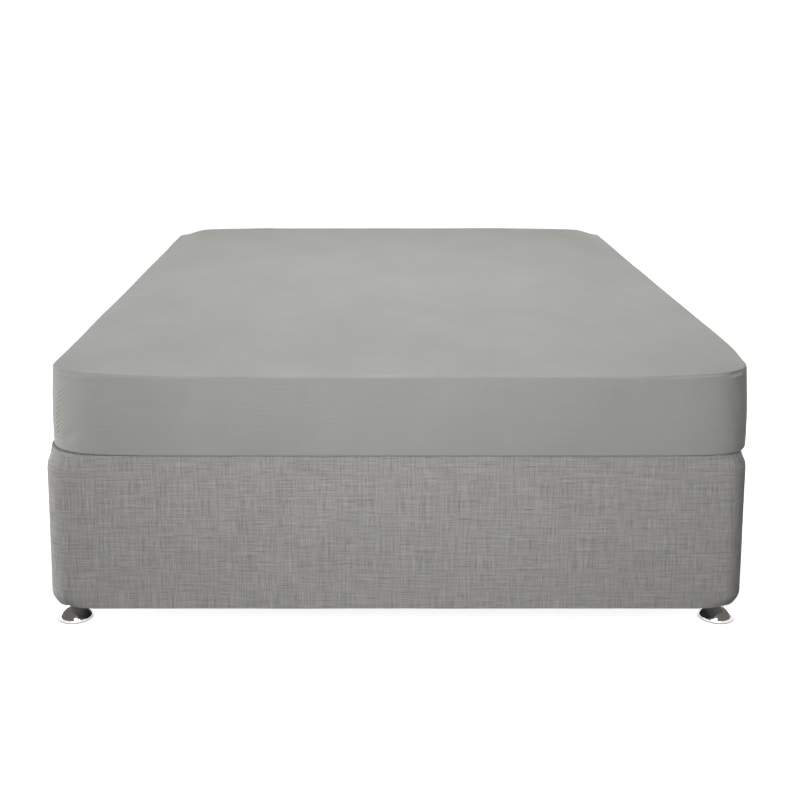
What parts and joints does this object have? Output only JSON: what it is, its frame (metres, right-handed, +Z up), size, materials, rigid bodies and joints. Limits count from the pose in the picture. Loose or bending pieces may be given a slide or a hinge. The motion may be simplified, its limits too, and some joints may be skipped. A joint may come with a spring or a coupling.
{
  "type": "fitted sheet on a mattress and divan bed base",
  "caption": "Taut fitted sheet with elastic corners over a box mattress, on an upholstered divan base that stands on turned chrome glides.",
  "frame": {"origin": "on the floor, under the middle of the sheet's outline", "axes": "+Z up, -Y towards the foot end that the picture shows, +Y towards the head end, +X to the right as seen from the foot end"},
  "size_m": [1.3846, 1.9164, 0.5245],
  "materials": {
    "sheet_cloth": "smooth matt percale in a greenish warm grey",
    "mattress_cover": "plain pale ticking, hidden by the sheet",
    "base_linen": "matt grey linen-look weave with slubs",
    "chrome": "polished chrome"
  },
  "bodies": {
    "root": {"fitted_sheet": "sheet_cloth", "mattress": "mattress_cover", "divan_base": "base_linen", "glide_front_left": "chrome", "glide_front_right": "chrome", "glide_back_left": "chrome", "glide_back_right": "chrome"}
  },
  "joints": []
}
